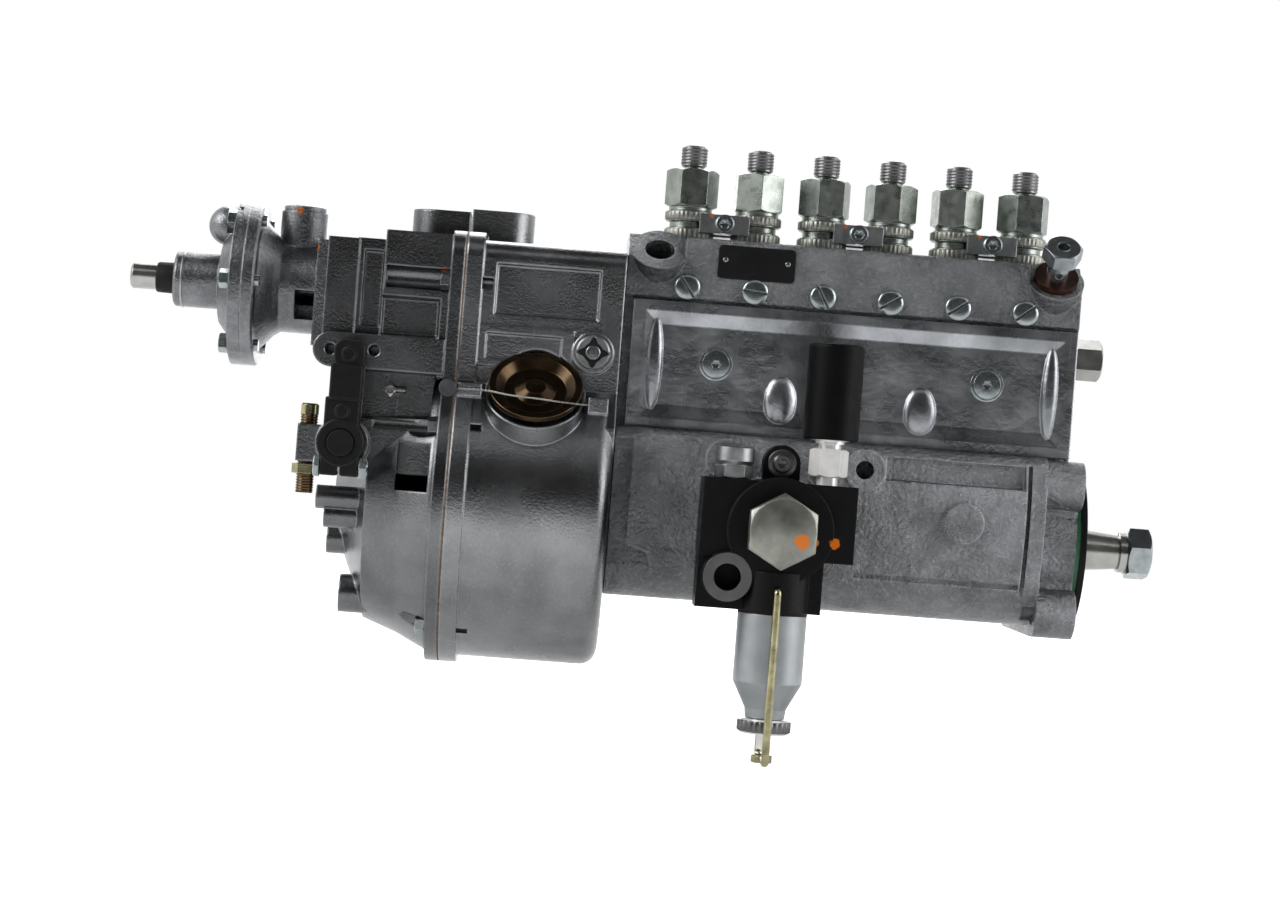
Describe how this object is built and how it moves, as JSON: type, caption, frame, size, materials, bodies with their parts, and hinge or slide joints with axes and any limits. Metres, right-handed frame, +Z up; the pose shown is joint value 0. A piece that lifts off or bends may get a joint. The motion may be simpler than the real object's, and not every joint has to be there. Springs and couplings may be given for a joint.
{
  "type": "diesel injection pump",
  "caption": "In-line diesel injection pump with camshaft, control rack, mechanical governor, boost compensator, feed pump with hand primer and sediment bowl.",
  "frame": {"origin": "on the camshaft axis, at the outer face of the drive-end plate", "axes": "+X along the camshaft out of the drive end, -Y to the front with the feed pump, +Z up towards the delivery unions"},
  "size_m": [0.4965, 0.176, 0.2861],
  "materials": {
    "cast_housing": "dark grey sand-cast aluminium",
    "smooth_cover": "smooth pressed aluminium",
    "governor_cast": "die-cast aluminium",
    "machined_cast": "cast aluminium with machined edges",
    "blue_zinc": "blue zinc plated steel",
    "pale_zinc": "pale blue-grey zinc plated steel",
    "grey_zinc": "brushed grey zinc plated steel",
    "olive_zinc": "greenish-grey zinc plated steel",
    "yellow_zinc": "yellow chromated zinc",
    "gold_chromate": "gold-brown chromated sheet steel",
    "bright_steel": "ground steel",
    "dark_steel": "hardened steel",
    "black_steel": "matte black",
    "black_iron": "satin black",
    "nickel": "bright nickel plate",
    "satin_bowl": "satin grey aluminium",
    "copper": "copper sealing washers",
    "lead": "dull grey lead",
    "gasket_paper": "brown gasket material",
    "black_plastic": "matte black plastic",
    "black_rubber": "nitrile rubber",
    "green_rubber": "green sealing ring"
  },
  "bodies": {
    "pump_body": {"pump_housing": "cast_housing", "base_plugs": "cast_housing", "inspection_cover": "smooth_cover", "cover_screws": "blue_zinc", "gallery_screws": "blue_zinc", "rack_cap": "bright_steel", "overflow_bolt": "blue_zinc", "overflow_washers": "copper", "bearing_outer_rings": "bright_steel", "drive_end_plate": "black_iron", "end_plate_seal": "green_rubber", "shaft_seal": "black_rubber", "roller_tappets": "bright_steel", "plunger_springs": "dark_steel", "barrels": "dark_steel", "delivery_valves": "bright_steel", "delivery_holders": "olive_zinc", "holder_clamps": "pale_zinc", "clamp_screws": "blue_zinc", "governor_housing": "governor_cast", "governor_gaskets": "gasket_paper", "governor_cover": "governor_cast", "casing_screws": "blue_zinc", "vent_plug": "pale_zinc", "cup_cap": "gold_chromate", "lead_seal": "lead", "seal_wire": "bright_steel", "stop_screws": "yellow_zinc", "compensator_body": "machined_cast", "compensator_cover": "machined_cast", "stub_plug": "machined_cast", "feed_pump_body": "black_iron", "feed_pump_plug": "grey_zinc", "outlet_fitting": "pale_zinc", "primer_fitting": "nickel", "sediment_bowl": "satin_bowl", "bowl_gasket": "black_rubber", "bail": "yellow_zinc"},
    "camshaft_body": {"camshaft": "bright_steel", "bearing_inner_races": "bright_steel", "lock_washer": "bright_steel", "drive_nut": "blue_zinc", "flyweight_carrier": "dark_steel"},
    "flyweight_upper": {"flyweight_1": "dark_steel"},
    "flyweight_lower": {"flyweight_2": "dark_steel"},
    "sleeve_body": {"governor_sleeve": "bright_steel"},
    "rack_body": {"control_rack": "bright_steel"},
    "lever_body": {"control_lever": "black_steel", "lever_shaft": "black_steel"},
    "primer_body": {"primer_handle": "black_plastic", "primer_rod": "bright_steel"},
    "bowl_nut_body": {"bowl_nut": "nickel"},
    "boost_body": {"boost_rod": "bright_steel"},
    "feed_piston_body": {"feed_piston": "bright_steel"},
    "element_1_body": {"pumping_element_1": "dark_steel"},
    "element_2_body": {"pumping_element_2": "dark_steel"},
    "element_3_body": {"pumping_element_3": "dark_steel"},
    "element_4_body": {"pumping_element_4": "dark_steel"},
    "element_5_body": {"pumping_element_5": "dark_steel"},
    "element_6_body": {"pumping_element_6": "dark_steel"}
  },
  "joints": [
    {"name": "camshaft_spin", "type": "hinge", "parent": "pump_body", "child": "camshaft_body", "pos_m": [0, 0, 0], "axis": [1, 0, 0], "continuous": true},
    {"name": "governor_sleeve_slide", "type": "slide", "parent": "camshaft_body", "child": "sleeve_body", "axis": [-1, 0, 0], "range_m": [0, 0.0039]},
    {"name": "flyweight_upper_swing", "type": "hinge", "parent": "camshaft_body", "child": "flyweight_upper", "pos_m": [-0.243, 0, 0.028], "axis": [0, 1, 0], "range_deg": [0, 15]},
    {"name": "flyweight_lower_swing", "type": "hinge", "parent": "camshaft_body", "child": "flyweight_lower", "pos_m": [-0.243, 0, -0.028], "axis": [0, -1, 0], "range_deg": [0, 15]},
    {"name": "rack_slide", "type": "slide", "parent": "pump_body", "child": "rack_body", "axis": [1, 0, 0], "range_m": [-0.0085, 0.0085]},
    {"name": "control_lever_swing", "type": "hinge", "parent": "pump_body", "child": "lever_body", "pos_m": [-0.3478, -0.07, 0.0245], "axis": [0, 1, 0], "range_deg": [-22, 22]},
    {"name": "primer_stroke", "type": "slide", "parent": "pump_body", "child": "primer_body", "axis": [0, 0, 1], "range_m": [0, 0.022]},
    {"name": "bowl_nut_travel", "type": "slide", "parent": "pump_body", "child": "bowl_nut_body", "axis": [0, 0, -1], "range_m": [0, 0.005]},
    {"name": "boost_rod_slide", "type": "slide", "parent": "pump_body", "child": "boost_body", "axis": [1, 0, 0], "range_m": [0, 0.004], "stiffness_N_per_m": 800},
    {"name": "feed_piston_slide", "type": "slide", "parent": "pump_body", "child": "feed_piston_body", "axis": [0, -1, 0], "range_m": [-0.004, 0.0025]},
    {"name": "element_1_turn", "type": "hinge", "parent": "pump_body", "child": "element_1_body", "pos_m": [-0.195, 0, 0.09], "axis": [0, 0, 1], "range_deg": [-43, 43]},
    {"name": "element_2_turn", "type": "hinge", "parent": "pump_body", "child": "element_2_body", "pos_m": [-0.163, 0, 0.09], "axis": [0, 0, 1], "range_deg": [-43, 43]},
    {"name": "element_3_turn", "type": "hinge", "parent": "pump_body", "child": "element_3_body", "pos_m": [-0.131, 0, 0.09], "axis": [0, 0, 1], "range_deg": [-43, 43]},
    {"name": "element_4_turn", "type": "hinge", "parent": "pump_body", "child": "element_4_body", "pos_m": [-0.099, 0, 0.09], "axis": [0, 0, 1], "range_deg": [-43, 43]},
    {"name": "element_5_turn", "type": "hinge", "parent": "pump_body", "child": "element_5_body", "pos_m": [-0.067, 0, 0.09], "axis": [0, 0, 1], "range_deg": [-43, 43]},
    {"name": "element_6_turn", "type": "hinge", "parent": "pump_body", "child": "element_6_body", "pos_m": [-0.035, 0, 0.09], "axis": [0, 0, 1], "range_deg": [-43, 43]}
  ],
  "couplings": [
    {"joint": "flyweight_upper_swing", "follows": "governor_sleeve_slide", "rad_per_m": 66.667},
    {"joint": "flyweight_lower_swing", "follows": "governor_sleeve_slide", "rad_per_m": 66.667},
    {"joint": "element_1_turn", "follows": "rack_slide", "rad_per_m": 86.957},
    {"joint": "element_2_turn", "follows": "rack_slide", "rad_per_m": 86.957},
    {"joint": "element_3_turn", "follows": "rack_slide", "rad_per_m": 86.957},
    {"joint": "element_4_turn", "follows": "rack_slide", "rad_per_m": 86.957},
    {"joint": "element_5_turn", "follows": "rack_slide", "rad_per_m": 86.957},
    {"joint": "element_6_turn", "follows": "rack_slide", "rad_per_m": 86.957}
  ]
}
